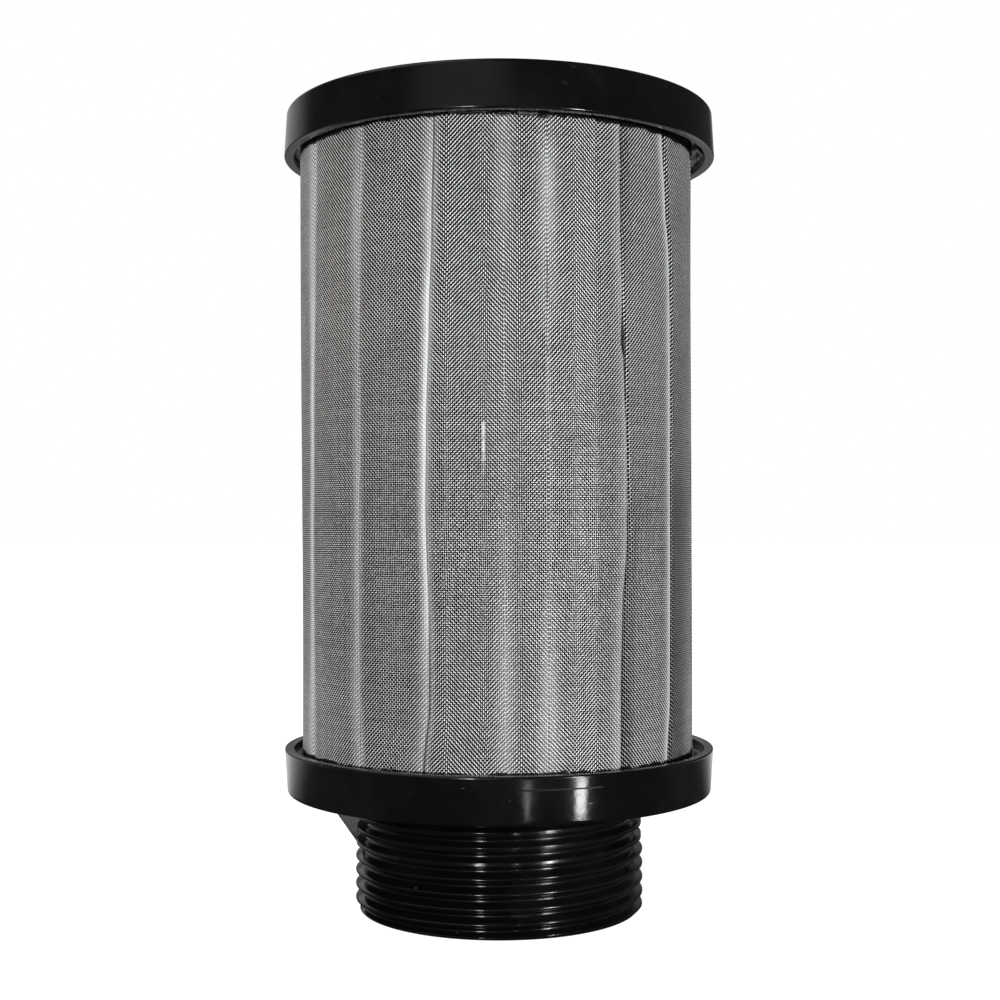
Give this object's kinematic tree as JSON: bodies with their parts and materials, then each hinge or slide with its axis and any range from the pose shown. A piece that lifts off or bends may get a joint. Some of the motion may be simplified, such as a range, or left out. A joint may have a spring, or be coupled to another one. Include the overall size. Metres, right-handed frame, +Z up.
{
  "type": "pneumatic muffler",
  "caption": "Screw-in exhaust muffler: a pleated wire-cloth cartridge bonded between black moulded end caps, with a male pipe-thread spigot that lets the air into a perforated core.",
  "frame": {"origin": "centre of the spigot's open end, which is the centre of the part's underside", "axes": "+Z up the axis from the spigot to the blind cap, -Y towards the front of the picture, +X to its right"},
  "size_m": [0.071, 0.071, 0.131],
  "materials": {
    "cap_plastic": "glossy black moulding",
    "wire_cloth": "bright plain-weave wire",
    "clip_steel": "folded strip",
    "core_steel": "punched sheet",
    "resin": "poured black resin"
  },
  "bodies": {
    "root": {"top_cap": "cap_plastic", "bottom_cap": "cap_plastic", "pleated_cloth": "wire_cloth", "seam_clip": "clip_steel", "core_tube": "core_steel", "top_potting": "resin", "bottom_potting": "resin"}
  },
  "joints": []
}
